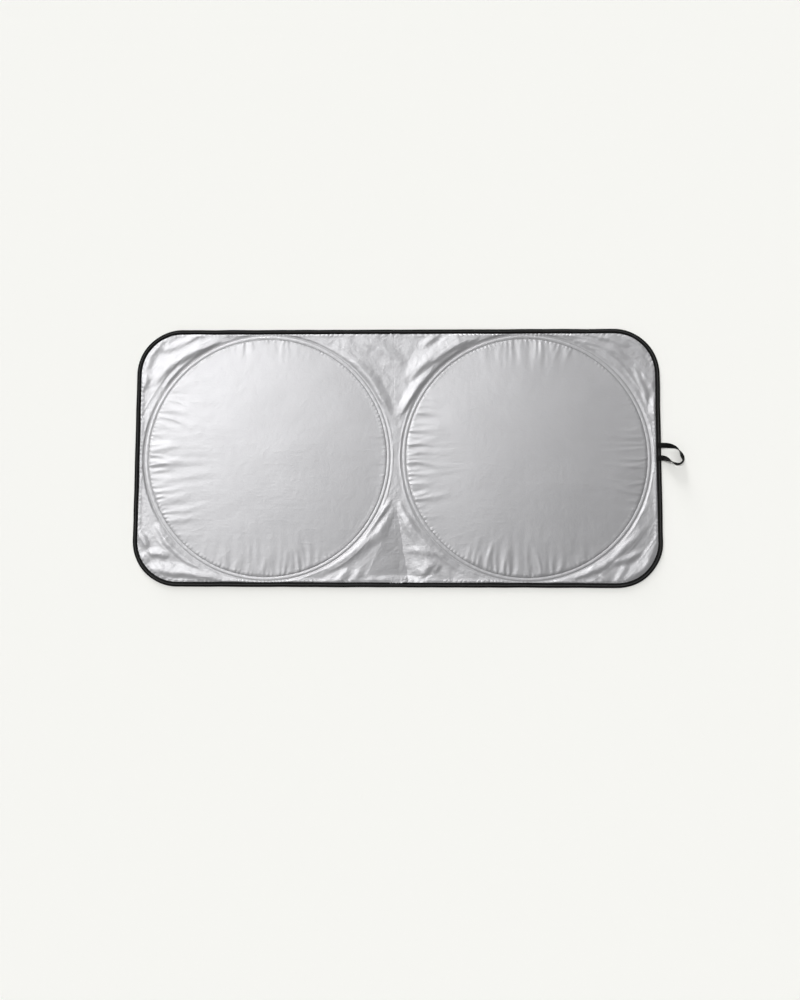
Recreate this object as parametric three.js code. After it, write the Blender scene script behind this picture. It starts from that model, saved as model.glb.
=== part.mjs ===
// A twist-fold windscreen sunshade, opened out and lying with its silver side up.
// One sheet of coated cloth is held out by two spring-wire hoops. Each hoop runs in a tape
// casing sewn to the back of the cloth, and its two ends meet in a small crimped sleeve.
// A folded black tape binds the edge, and a webbing loop is sewn onto it at one end.
// Millimetres, +Z up. The origin is the middle of the panel, on the plane it lies on.
// +X runs to the end with the loop, and +Y to the edge that goes to the top of the glass.
import * as THREE from 'three';

// Layers and the clearance between pieces that lie on each other
const GAP = 0.3;
const CLOTH_THICKNESS = 0.4;
const TAPE_THICKNESS = 0.5;

// Hoops, sleeves and casings
const HOOP_RADIUS = 347.5;
const WIRE_DIAMETER = 2;
const WIRE_END_GAP = 1;
const SLEEVE_LENGTH = 36;
const SLEEVE_WALL = 0.35;
const SLEEVE_BORE_GAP = 0.15;
const SLEEVE_ANGLE = 92;
const SEAM_INSIDE_HOOP = 7;
const SEAM_OUTSIDE_HOOP = 6;
const SEAM_ALLOWANCE = 2;

// Spaces that set the panel's outline around the two casings
const WAIST_GAP = 27;
const END_GAP = 11.5;
const LONG_EDGE_GAP = 0.5;
const CORNER_RADIUS = 130;

// Edge binding
const BINDING_WIDTH = 14;
const BINDING_FOLD_ROUND = 0.6;
const CLOTH_EDGE_GAP = 0.5;

// Webbing loop
const STRAP_WIDTH = 15;
const STRAP_THICKNESS = 1.4;
const STRAP_TUCK = 13;
const STRAP_LEG_SPACING = 36;
const STRAP_MIDDLE_Y = 14.5;
const STRAP_DROP = 26;

// How the cloth lies
const CROWN = 2.2;
const PUFF = 0.7;
const PUFF_REACH = 8;
const GATHER_HEIGHT = 0.9;
const GATHER_LENGTH = 76;
const GATHER_PITCH = 4.2;
const GATHERS_EACH_WAY = 6;
const FLOOR_REACH = 6;
const MIDDLE_RINGS = [0.42, 0.63];
const SLACK_RINGS = [0.25, 0.6, 1];
const MIDDLE_LINE_RING = 0.85;

// How finely round things are cut
const WIRE_STEPS = 90;
const WIRE_SIDES = 8;
const SLEEVE_SIDES = 16;
const CASING_STEPS = 120;
const CORNER_STEPS = 12;
const SIDE_STEPS = 6;
const DIAGONAL_STEPS = 4;
const STRAP_STEPS = 44;

// Places worked out from the sizes above
const casingInner = HOOP_RADIUS - SEAM_INSIDE_HOOP - SEAM_ALLOWANCE;
const casingOuter = HOOP_RADIUS + SEAM_OUTSIDE_HOOP + SEAM_ALLOWANCE;
const innerSeam = HOOP_RADIUS - SEAM_INSIDE_HOOP;
const outerSeam = HOOP_RADIUS + SEAM_OUTSIDE_HOOP;
const hoopCentre = WAIST_GAP / 2 + casingOuter;
const halfWidth = hoopCentre + casingOuter + END_GAP + BINDING_WIDTH;
const halfHeight = casingOuter + LONG_EDGE_GAP + BINDING_WIDTH;
const seamLevel = TAPE_THICKNESS + GAP;
const sleeveRadius = WIRE_DIAMETER / 2 + SLEEVE_BORE_GAP + SLEEVE_WALL;
const wireLevel = TAPE_THICKNESS + GAP + sleeveRadius;
const clothEdgeInset = TAPE_THICKNESS + CLOTH_EDGE_GAP;
const bindingInset = BINDING_WIDTH + GAP;
const bindingTop = seamLevel + CLOTH_THICKNESS + GAP + TAPE_THICKNESS;

// Folds of the slack cloth outside the hoops. Each crest runs round its own hoop, from one
// angle and distance beyond the outer seam to another. Angles are in degrees from +X.
// side, from angle, from reach, to angle, to reach, height, slope towards the hoop, slope away
const FOLDS = [
  [-1, 145, 28, 118, 12, 4.5, 14, 24],
  [-1, 139, 88, 110, 26, 6, 20, 20],
  [-1, 147, 82, 131, 98, 3.5, 22, 10],
  [-1, 205, 19, 242, 20, 3, 10, 14],
  [-1, 223, 104, 251, 20, 7, 30, 12],
  [-1, 211, 84, 226, 54, 4.5, 18, 14],
  [-1, 60, 8, 20, 20, 4, 10, 34],
  [-1, 72, 8, 52, 70, 3, 24, 24],
  [-1, 342, 22, 318, 8, 4, 12, 12],
  [-1, 327, 50, 291, 6, 7, 20, 36],
  [1, 145, 54, 112, 18, 8, 26, 14],
  [1, 166, 26, 138, 10, 5.5, 14, 26],
  [1, 216, 60, 235, 18, 4.5, 16, 22],
  [1, 228, 50, 249, 22, 3.5, 14, 14],
  [1, 67, 18, 48, 78, 4, 20, 18],
  [1, 64, 8, 43, 44, 3, 14, 18],
  [1, 52, 8, 32, 20, 3, 10, 18],
  [1, 290, 15, 330, 33, 4.5, 14, 16],
  [1, 306, 28, 321, 68, 4, 16, 14],
  [1, 325, 98, 308, 90, 5.5, 24, 10],
];

const degrees = (value) => (value * Math.PI) / 180;
const clamp = (value) => Math.min(1, Math.max(0, value));
const smooth = (value) => clamp(value) ** 2 * (3 - 2 * clamp(value));

// How far a point lies inside the panel's rounded outline.
function insetOf(x, y) {
  const across = Math.abs(x) - (halfWidth - CORNER_RADIUS);
  const along = Math.abs(y) - (halfHeight - CORNER_RADIUS);
  if (across > 0 && along > 0) return CORNER_RADIUS - Math.hypot(across, along);
  return CORNER_RADIUS - Math.max(across, along);
}

// The cloth's crest over the wire has to clear the sleeve, whose middle is at wireLevel.
function channelRise() {
  const half = Math.min(SEAM_INSIDE_HOOP, SEAM_OUTSIDE_HOOP);
  const need = sleeveRadius + GAP + SLEEVE_BORE_GAP;
  const up = wireLevel - seamLevel;
  const root = Math.sqrt(up ** 2 * half ** 4 - (half ** 2 - need ** 2) * (up ** 2 - need ** 2) * half ** 2);
  return (up * half ** 2 + root) / (half ** 2 - need ** 2);
}

// Small puckers that the seam draws up in the cloth inside a hoop. They lie where the
// threads of the cloth run straight at the seam, so they fade on the four diagonals.
function gatherAt(angle, fromSeam) {
  const turn = ((angle % 90) + 90) % 90;
  const offAxis = Math.min(turn, 90 - turn);
  const nearAxis = smooth((GATHER_PITCH * GATHERS_EACH_WAY - offAxis) / (GATHER_PITCH * 2));
  const count = Math.round(angle / GATHER_PITCH);
  const uneven = 0.7 + 0.3 * Math.sin(count * 2.4);
  const along = Math.min(fromSeam / PUFF_REACH, 1 - fromSeam / GATHER_LENGTH);
  return GATHER_HEIGHT * uneven * nearAxis * clamp(along) * Math.cos((offAxis / GATHER_PITCH) * 2 * Math.PI);
}

function foldAt(side, angle, reach) {
  let height = 0;
  for (const [foldSide, angleA, reachA, angleB, reachB, rise, towards, away] of FOLDS) {
    if (foldSide !== side) continue;
    const share = (angle - angleA) / (angleB - angleA);
    if (share <= 0 || share >= 1) continue;
    const off = reach - (reachA + (reachB - reachA) * share);
    const across = clamp(1 - Math.abs(off) / (off < 0 ? towards : away));
    const taper = smooth(Math.min(share, 1 - share) * 4);
    height = Math.max(height, rise * across * taper);
  }
  return height;
}

// Height of the cloth's underside over the plane that the panel lies on.
function undersideAt(x, y) {
  const side = x < 0 ? -1 : 1;
  const angle = (THREE.MathUtils.radToDeg(Math.atan2(y, x - side * hoopCentre)) + 360) % 360;
  const radius = Math.hypot(x - side * hoopCentre, y);
  if (radius <= innerSeam) {
    const fromSeam = innerSeam - radius;
    const puff = PUFF * clamp(fromSeam / PUFF_REACH);
    const crown = CROWN * (1 - (radius / innerSeam) ** 2);
    return seamLevel + puff + crown + gatherAt(angle, fromSeam);
  }
  if (radius < outerSeam) {
    const half = radius < HOOP_RADIUS ? SEAM_INSIDE_HOOP : SEAM_OUTSIDE_HOOP;
    return seamLevel + channelRise() * (1 - Math.abs(radius - HOOP_RADIUS) / half);
  }
  const fromCasing = Math.max(0, radius - casingOuter - GAP);
  const fromBinding = Math.max(0, insetOf(x, y) - bindingInset);
  const sewn = clamp(1 - Math.min(fromCasing, fromBinding) / FLOOR_REACH);
  const free = smooth(fromCasing / FLOOR_REACH) * smooth(fromBinding / FLOOR_REACH);
  return seamLevel * sewn + free * foldAt(side, angle, radius - outerSeam);
}

// Distance from a hoop's centre to the panel's outline drawn in by inset, or to the middle
// line of the panel. The angle is 0 towards the middle line.
function rayLength(angle, inset) {
  const cos = Math.cos(angle);
  const sin = Math.abs(Math.sin(angle));
  const end = halfWidth - hoopCentre - inset;
  const top = halfHeight - inset;
  const radius = CORNER_RADIUS - inset;
  const lengths = [];
  if (cos > 0) lengths.push(hoopCentre / cos);
  if (cos < 0) lengths.push(-end / cos);
  if (sin > 0) lengths.push(top / sin);
  const straight = Math.min(...lengths);
  const cornerAcross = end - radius;
  const cornerAlong = top - radius;
  if (-straight * cos <= cornerAcross || straight * sin <= cornerAlong) return straight;
  const middle = -cornerAcross * cos + cornerAlong * sin;
  return middle + Math.sqrt(middle ** 2 - cornerAcross ** 2 - cornerAlong ** 2 + radius ** 2);
}

// The directions from a hoop's centre in which the cloth has points: one on every crest
// and hollow of the gathers, a few on the diagonals, and two at the middle of a long edge.
function rayAngles() {
  const step = degrees(GATHER_PITCH / 2);
  const gathered = step * 2 * GATHERS_EACH_WAY;
  const bindingRay = Math.atan2(halfHeight - bindingInset, hoopCentre);
  const cornerRay = Math.atan2(halfHeight - clothEdgeInset, hoopCentre);
  const half = [];
  const spread = (from, to, count) => {
    for (let i = 0; i < count; i += 1) half.push(from + ((to - from) * i) / count);
  };
  spread(0, gathered, 2 * GATHERS_EACH_WAY);
  spread(gathered, bindingRay, DIAGONAL_STEPS - 1);
  spread(bindingRay, cornerRay, 1);
  spread(cornerRay, Math.PI / 2 - gathered, DIAGONAL_STEPS);
  spread(Math.PI / 2 - gathered, Math.PI / 2 + gathered, 4 * GATHERS_EACH_WAY);
  spread(Math.PI / 2 + gathered, Math.PI - gathered, 2 * DIAGONAL_STEPS);
  spread(Math.PI - gathered, Math.PI, 2 * GATHERS_EACH_WAY);
  const others = half.slice(1).map((angle) => 2 * Math.PI - angle).reverse();
  return [...half, Math.PI, ...others];
}

// The plan of the cloth: points and triangles, ring by ring round both hoops. Rings near a
// hoop's centre have a quarter and a half of the points.
function clothPlan() {
  const angles = rayAngles();
  const count = angles.length;
  const points = [];
  const triangles = [];
  const known = new Map();
  const pointAt = (x, y) => {
    const key = `${x.toFixed(3)} ${y.toFixed(3)}`;
    if (!known.has(key)) {
      known.set(key, points.length);
      points.push([x, y]);
    }
    return known.get(key);
  };
  const rings = [
    { every: 4, at: () => innerSeam * MIDDLE_RINGS[0] },
    { every: 2, at: () => innerSeam * MIDDLE_RINGS[1] },
    { every: 1, at: () => innerSeam - GATHER_LENGTH },
    { every: 1, at: () => innerSeam - GATHER_LENGTH / 2 },
    { every: 1, at: () => innerSeam - PUFF_REACH },
    { every: 1, at: () => innerSeam },
    { every: 1, at: () => HOOP_RADIUS },
    { every: 1, at: () => outerSeam },
  ];
  const meetsMiddle = (angle) => rayLength(angle, bindingInset) * Math.cos(angle) > hoopCentre - 1e-6;
  const slackEnd = (angle) => {
    if (!meetsMiddle(angle)) return rayLength(angle, bindingInset);
    return outerSeam + MIDDLE_LINE_RING * (rayLength(angle, clothEdgeInset) - outerSeam);
  };
  const slackStart = (angle) => Math.min(casingOuter + GAP, outerSeam + (slackEnd(angle) - outerSeam) / 4);
  rings.push({ every: 1, at: slackStart });
  for (const share of SLACK_RINGS) {
    rings.push({ every: 1, at: (angle) => THREE.MathUtils.lerp(slackStart(angle), slackEnd(angle), share) });
  }
  rings.push({ every: 1, at: (angle) => rayLength(angle, clothEdgeInset) });

  for (const side of [-1, 1]) {
    const placed = rings.map(({ every, at }) => {
      const ring = [];
      for (let i = 0; i < count; i += every) {
        const radius = at(angles[i]);
        const x = side * (hoopCentre - radius * Math.cos(angles[i]));
        ring.push(pointAt(x, radius * Math.sin(angles[i])));
      }
      return ring;
    });
    const add = (a, b, c) => triangles.push(side < 0 ? [a, b, c] : [a, c, b]);
    const centre = pointAt(side * hoopCentre, 0);
    placed[0].forEach((point, i) => add(centre, point, placed[0][(i + 1) % placed[0].length]));
    for (let k = 1; k < placed.length; k += 1) {
      const inner = placed[k - 1];
      const outer = placed[k];
      const ratio = outer.length / inner.length;
      inner.forEach((point, i) => {
        const next = inner[(i + 1) % inner.length];
        const first = outer[i * ratio];
        const last = outer[((i + 1) * ratio) % outer.length];
        if (ratio === 1 && i < count / 2) {
          add(point, first, next);
          add(next, first, last);
        } else if (ratio === 1) {
          add(point, first, last);
          add(point, last, next);
        } else {
          const middle = outer[i * ratio + 1];
          add(point, first, middle);
          add(point, middle, next);
          add(next, middle, last);
        }
      });
    }
  }
  return { points, triangles };
}

function geometryOf(positions, index) {
  const geometry = new THREE.BufferGeometry();
  geometry.setAttribute('position', new THREE.Float32BufferAttribute(positions, 3));
  geometry.setIndex(index);
  geometry.computeVertexNormals();
  return geometry;
}

// A closed sheet of even thickness over a plan, with a wall along every open edge.
function sheetGeometry({ points, triangles }, underside, thickness) {
  const positions = [];
  for (const rise of [0, thickness]) {
    for (const [x, y] of points) positions.push(x, y, underside(x, y) + rise);
  }
  const count = points.length;
  const index = [];
  const open = new Map();
  for (const [a, b, c] of triangles) {
    index.push(a + count, b + count, c + count, a, c, b);
    for (const [from, to] of [[a, b], [b, c], [c, a]]) {
      if (open.has(`${to} ${from}`)) open.delete(`${to} ${from}`);
      else open.set(`${from} ${to}`, [from, to]);
    }
  }
  for (const [from, to] of open.values()) {
    index.push(from, to, to + count, from, to + count, from + count);
  }
  return geometryOf(positions, index);
}

// A closed ring: a section carried round a closed path. place(i, point) puts each point.
function ringGeometry(pathCount, section, place) {
  const positions = [];
  const index = [];
  const size = section.length;
  for (let i = 0; i < pathCount; i += 1) {
    for (const point of section) positions.push(...place(i, point));
    const next = ((i + 1) % pathCount) * size;
    for (let j = 0; j < size; j += 1) {
      const a = i * size + j;
      const b = i * size + ((j + 1) % size);
      const c = next + ((j + 1) % size);
      const d = next + j;
      index.push(a, b, c, a, c, d);
    }
  }
  return geometryOf(positions, index);
}

function named(name, geometry, material) {
  const mesh = new THREE.Mesh(geometry, material);
  mesh.name = name;
  return mesh;
}

// Hoop wires and sleeves
class HoopArc extends THREE.Curve {
  getPoint(share, target = new THREE.Vector3()) {
    const half = WIRE_END_GAP / 2 / HOOP_RADIUS;
    const angle = degrees(SLEEVE_ANGLE) + half + share * (2 * Math.PI - 2 * half);
    return target.set(HOOP_RADIUS * Math.cos(angle), HOOP_RADIUS * Math.sin(angle), 0);
  }
}

// The sleeve follows the first straight step of the wire on each side of the joint.
class SleeveLine extends THREE.Curve {
  getPoint(share, target = new THREE.Vector3()) {
    const turn = (2 * Math.PI) / WIRE_STEPS;
    const at = (angle) => new THREE.Vector3(HOOP_RADIUS * Math.cos(angle), HOOP_RADIUS * Math.sin(angle), 0);
    const joint = degrees(SLEEVE_ANGLE);
    const far = at(joint + (share < 0.5 ? -turn : turn));
    const along = (Math.abs(share - 0.5) * SLEEVE_LENGTH) / far.distanceTo(at(joint));
    return target.copy(at(joint)).lerp(far, along);
  }
}

function roundShape(radius, boreRadius = 0) {
  const shape = new THREE.Shape();
  shape.absarc(0, 0, radius, 0, 2 * Math.PI, false);
  if (boreRadius > 0) {
    const bore = new THREE.Path();
    bore.absarc(0, 0, boreRadius, 0, 2 * Math.PI, true);
    shape.holes.push(bore);
  }
  return shape;
}

function wireGeometry() {
  return new THREE.ExtrudeGeometry(roundShape(WIRE_DIAMETER / 2), {
    steps: WIRE_STEPS, curveSegments: WIRE_SIDES / 2, extrudePath: new HoopArc(),
  });
}

function sleeveGeometry() {
  const bore = (WIRE_DIAMETER / 2 + SLEEVE_BORE_GAP) / Math.cos(Math.PI / SLEEVE_SIDES);
  return new THREE.ExtrudeGeometry(roundShape(sleeveRadius, Math.min(bore, sleeveRadius - SLEEVE_WALL / 2)), {
    steps: 2, curveSegments: SLEEVE_SIDES / 2, extrudePath: new SleeveLine(),
  });
}

function casingGeometry() {
  return new THREE.ExtrudeGeometry(roundShape(casingOuter, casingInner), {
    depth: TAPE_THICKNESS, bevelEnabled: false, curveSegments: CASING_STEPS / 2,
  });
}

// Points of the outline with the way out at each: four rounded corners and straight sides.
function outlinePoints() {
  const found = [];
  const across = halfWidth - CORNER_RADIUS;
  const along = halfHeight - CORNER_RADIUS;
  const corners = [[across, along], [-across, along], [-across, -along], [across, -along]];
  corners.forEach(([x, y], start) => {
    for (let i = 0; i <= CORNER_STEPS; i += 1) {
      const angle = ((start + i / CORNER_STEPS) * Math.PI) / 2;
      found.push({ x: x + CORNER_RADIUS * Math.cos(angle), y: y + CORNER_RADIUS * Math.sin(angle), angle });
    }
    const from = found.at(-1);
    const length = start % 2 === 0 ? 2 * across : 2 * along;
    for (let i = 1; i < SIDE_STEPS; i += 1) {
      const run = (length * i) / SIDE_STEPS;
      const ahead = [from.x - run * Math.sin(from.angle), from.y + run * Math.cos(from.angle)];
      found.push({ x: ahead[0], y: ahead[1], angle: from.angle });
    }
  });
  return found;
}

// The binding is one tape folded round the cloth's edge. Its section is given as inset from
// the outline and height.
function bindingGeometry() {
  const slotTop = bindingTop - TAPE_THICKNESS;
  const section = [
    [BINDING_WIDTH, 0], [BINDING_WIDTH, TAPE_THICKNESS], [TAPE_THICKNESS, TAPE_THICKNESS],
    [TAPE_THICKNESS, slotTop], [BINDING_WIDTH, slotTop], [BINDING_WIDTH, bindingTop],
    [BINDING_FOLD_ROUND, bindingTop], [0, bindingTop - BINDING_FOLD_ROUND],
    [0, BINDING_FOLD_ROUND], [BINDING_FOLD_ROUND, 0],
  ];
  const outline = outlinePoints();
  return ringGeometry(outline.length, section, (i, [inset, height]) => {
    const { x, y, angle } = outline[i];
    return [x - inset * Math.cos(angle), y - inset * Math.sin(angle), height];
  });
}

// The webbing leaves the panel flat and turns as it goes round. It stands on its edge, leans
// over at the far end, stands again and comes back flat. Each station is distance out,
// distance along the edge, and turn.
const LOOP_STATIONS = [
  [-STRAP_TUCK, STRAP_LEG_SPACING / 2, 0],
  [4, STRAP_LEG_SPACING / 2, 0],
  [18, 17.4, 24],
  [30, 14.7, 52],
  [43.8, 9.2, 90],
  [53, -2, 126],
  [57.7, -12.4, 150],
  [60.5, -21, 130],
  [59, -28, 114],
  [52.5, -34, 110],
  [44, -36.5, 108],
  [35, -33.4, 98],
  [27, -28, 72],
  [19, -23.5, 42],
  [11, -20, 12],
  [4, -STRAP_LEG_SPACING / 2, 0],
  [-STRAP_TUCK, -STRAP_LEG_SPACING / 2, 0],
];

function strapGeometry() {
  const origin = new THREE.Vector3(halfWidth, STRAP_MIDDLE_Y, 0);
  const stations = LOOP_STATIONS.map((station) => new THREE.Vector3(...station).add(origin));
  const line = new THREE.CatmullRomCurve3(stations, false, 'centripetal');
  const section = [[-1, -1], [1, -1], [1, 1], [-1, 1]];
  const positions = [];
  const index = [];
  for (let i = 0; i <= STRAP_STEPS; i += 1) {
    const at = line.getPoint(i / STRAP_STEPS);
    const ahead = line.getTangent(i / STRAP_STEPS);
    const turn = degrees(Math.max(0, at.z));
    const across = new THREE.Vector3(-ahead.y, ahead.x, 0).normalize();
    const width = across.clone().multiplyScalar(Math.cos(turn)).setZ(Math.sin(turn));
    const through = across.clone().multiplyScalar(-Math.sin(turn)).setZ(Math.cos(turn));
    const half = [STRAP_WIDTH / 2, STRAP_THICKNESS / 2];
    const foot = (bindingTop + GAP) * (1 - smooth((at.x - halfWidth) / STRAP_DROP));
    const height = foot + half[0] * Math.abs(width.z) + half[1] * Math.abs(through.z);
    for (const [w, t] of section) {
      positions.push(
        at.x + w * half[0] * width.x + t * half[1] * through.x,
        at.y + w * half[0] * width.y + t * half[1] * through.y,
        height + w * half[0] * width.z + t * half[1] * through.z,
      );
    }
    if (i === STRAP_STEPS) continue;
    for (let j = 0; j < 4; j += 1) {
      const a = i * 4 + j;
      const b = i * 4 + ((j + 1) % 4);
      index.push(a, b, b + 4, a, b + 4, a + 4);
    }
  }
  const last = STRAP_STEPS * 4;
  index.push(0, 2, 1, 0, 3, 2, last, last + 1, last + 2, last, last + 2, last + 3);
  return geometryOf(positions, index);
}

// Materials
function material(color, roughness, metalness, flatShading = false) {
  return new THREE.MeshStandardMaterial({ color, roughness, metalness, flatShading });
}

const silverCloth = material(0xc9c9cb, 0.42, 0.75, true);
const casingTape = material(0xa9aaac, 0.8, 0.1);
const springWire = material(0x8d9094, 0.35, 1);
const sleeveMetal = material(0xa8abae, 0.4, 1);
const bindingTape = material(0x171716, 0.75, 0);
const webbing = material(0x141414, 0.8, 0);

const sunshade = new THREE.Group();
sunshade.add(named('face_panel', sheetGeometry(clothPlan(), undersideAt, CLOTH_THICKNESS), silverCloth));
sunshade.add(named('edge_binding', bindingGeometry(), bindingTape));
sunshade.add(named('carry_loop', strapGeometry(), webbing));

for (const [prefix, side] of [['left', -1], ['right', 1]]) {
  const casing = named(`${prefix}_casing_tape`, casingGeometry(), casingTape);
  const wire = named(`${prefix}_hoop_wire`, wireGeometry(), springWire);
  const sleeve = named(`${prefix}_hoop_sleeve`, sleeveGeometry(), sleeveMetal);
  wire.position.z = wireLevel;
  sleeve.position.z = wireLevel;
  const hoop = new THREE.Group();
  hoop.position.x = side * hoopCentre;
  hoop.add(casing, wire, sleeve);
  sunshade.add(hoop);
}

export default sunshade;
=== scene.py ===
# %% [markdown]
# # A windscreen sunshade in Blender
# The imported CAD model is loaded as a fixed frame: a silver cloth, a bound edge, a webbing
# loop, and two wire hoops in tape casings. It gives every place and every size. Blender then
# gives each part the form and finish that a plain solid leaves out.

# %% Load the frame
import math
import bmesh
import bpy
import numpy as np
from mathutils import Matrix, Vector, geometry, noise


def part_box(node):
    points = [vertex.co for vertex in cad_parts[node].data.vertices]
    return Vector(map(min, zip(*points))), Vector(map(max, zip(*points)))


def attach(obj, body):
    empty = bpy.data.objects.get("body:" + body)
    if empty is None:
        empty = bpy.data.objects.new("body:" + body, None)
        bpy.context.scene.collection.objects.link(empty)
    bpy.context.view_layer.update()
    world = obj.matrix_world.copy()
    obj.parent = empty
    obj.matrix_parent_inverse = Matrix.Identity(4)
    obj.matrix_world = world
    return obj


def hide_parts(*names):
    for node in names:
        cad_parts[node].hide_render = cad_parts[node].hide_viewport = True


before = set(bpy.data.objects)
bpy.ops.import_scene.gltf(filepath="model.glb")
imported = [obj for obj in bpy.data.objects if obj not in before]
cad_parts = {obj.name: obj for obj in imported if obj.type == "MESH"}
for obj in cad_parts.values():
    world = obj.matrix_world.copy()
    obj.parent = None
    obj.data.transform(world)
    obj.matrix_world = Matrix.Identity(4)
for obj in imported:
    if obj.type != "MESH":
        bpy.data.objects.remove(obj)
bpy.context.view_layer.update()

# %% [markdown]
# ## The sizes, read off the frame
# The scene doesn't repeat the CAD's numbers where it can measure them. A hoop's radius and
# the ring of its casing come from the boxes of those nodes, and the outline comes from the
# box of the binding. Only what a box can't tell is written here: how wide a tape is, and how
# round a corner. Blender's own unit is the metre, and these values are in metres too.

# %% Measure the frame
MM = 0.001
binding_high = Vector(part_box("edge_binding")[1])
casing_low, casing_high = (Vector(c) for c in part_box("right_casing_tape"))
wire_low, wire_high = (Vector(c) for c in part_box("right_hoop_wire"))

HALF_WIDTH, HALF_HEIGHT = binding_high.x, binding_high.y
CORNER_RADIUS = 130 * MM
BINDING_WIDTH = 14 * MM
CASING_WIDTH = 17 * MM
SEAM_FROM_TAPE_EDGE = 3.3 * MM
HOOP_CENTRE = (casing_low.x + casing_high.x) / 2
CASING_OUTER = (casing_high.y - casing_low.y) / 2
CASING_INNER = CASING_OUTER - CASING_WIDTH
WIRE_RADIUS = 1 * MM
HOOP_RADIUS = (wire_high.y - wire_low.y) / 2 - WIRE_RADIUS
INNER_SEAM, OUTER_SEAM = CASING_INNER + SEAM_FROM_TAPE_EDGE, CASING_OUTER - SEAM_FROM_TAPE_EDGE
SEAM_LEVEL = casing_high.z + 0.3 * MM
print(f"panel {2 * HALF_WIDTH:.3f} by {2 * HALF_HEIGHT:.3f} m")
print(f"hoops of radius {HOOP_RADIUS:.4f} m at ±{HOOP_CENTRE:.4f} m")

# %% [markdown]
# ## The camera
# The shade lies on the floor and the camera looks down at it from 2.6 m, leaning a few degrees
# towards the lower edge, so that the near edge is a little wider in the picture than the far
# one. It looks at a point below the middle of the panel, which puts the panel in the upper
# half of the frame. The lens follows from how many metres one pixel of the picture covers.

# %% Camera
PICTURE_WIDTH = 800
METRES_PER_PIXEL = 2.838 * MM
SENSOR = 36
CAMERA_DISTANCE = 2.6
LEAN_RIGHT, LEAN_DOWN, ROLL = math.radians(1.4), math.radians(4.75), math.radians(0.18)
towards_camera = Vector((math.sin(LEAN_RIGHT), -math.sin(LEAN_DOWN), 0))
towards_camera.z = math.sqrt(1 - towards_camera.length_squared)
aim = Vector((10.9 * MM, -123.2 * MM, 0))

camera = bpy.data.objects.new("camera", bpy.data.cameras.new("camera"))
bpy.context.collection.objects.link(camera)
camera.data.sensor_fit = "HORIZONTAL"
camera.data.sensor_width = SENSOR
camera.data.lens = SENSOR * CAMERA_DISTANCE / (PICTURE_WIDTH * METRES_PER_PIXEL)
to_right = Vector((0, 1, 0)).cross(towards_camera).normalized()
upwards = towards_camera.cross(to_right)
looking = Matrix((to_right, upwards, towards_camera)).transposed() @ Matrix.Rotation(ROLL, 3, "Z")
camera.rotation_euler = looking.to_euler()
camera.location = aim + CAMERA_DISTANCE * towards_camera
bpy.context.scene.camera = camera
print("lens", round(camera.data.lens, 1), "mm")

# %% [markdown]
# ## Where the cloth is, seen from above
# Each hoop's half of the panel is described from the hoop's centre: an angle and a distance.
# The outline is a rounded rectangle, so the distance to it along a ray takes a little
# geometry. The same functions then place rings of points between the outer seam and the edge.

# %% The outline in plan
def inset_of(x, y):
    """How far points lie inside the panel's rounded outline."""
    across = np.abs(x) - (HALF_WIDTH - CORNER_RADIUS)
    along = np.abs(y) - (HALF_HEIGHT - CORNER_RADIUS)
    round_part = CORNER_RADIUS - np.hypot(across, along)
    straight_part = CORNER_RADIUS - np.maximum(across, along)
    return np.where((across > 0) & (along > 0), round_part, straight_part)


def ray_length(angle, inset):
    """Distance from a hoop's centre to the outline drawn in by inset, or to the middle line.

    The middle line is at angle 0.
    """
    cos, sin = np.cos(angle), np.abs(np.sin(angle))
    end, top, radius = HALF_WIDTH - HOOP_CENTRE - inset, HALF_HEIGHT - inset, CORNER_RADIUS - inset
    with np.errstate(divide="ignore"):
        reach = np.where(sin > 1e-9, top / np.maximum(sin, 1e-9), np.inf)
        reach = np.where(cos < -1e-9, np.minimum(reach, end / np.maximum(-cos, 1e-9)), reach)
        reach = np.where(cos > 1e-9, np.minimum(reach, HOOP_CENTRE / np.maximum(cos, 1e-9)), reach)
    middle_x, middle_y = end - radius, top - radius
    middle = -middle_x * cos + middle_y * sin
    on_arc = middle + np.sqrt(np.maximum(0, middle**2 - middle_x**2 - middle_y**2 + radius**2))
    in_corner = (-reach * cos > middle_x) & (reach * sin > middle_y)
    return np.where(in_corner, on_arc, reach)


print("from a hoop's centre to the end of the panel:", round(float(ray_length(math.pi, 0)), 4), "m")
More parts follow.
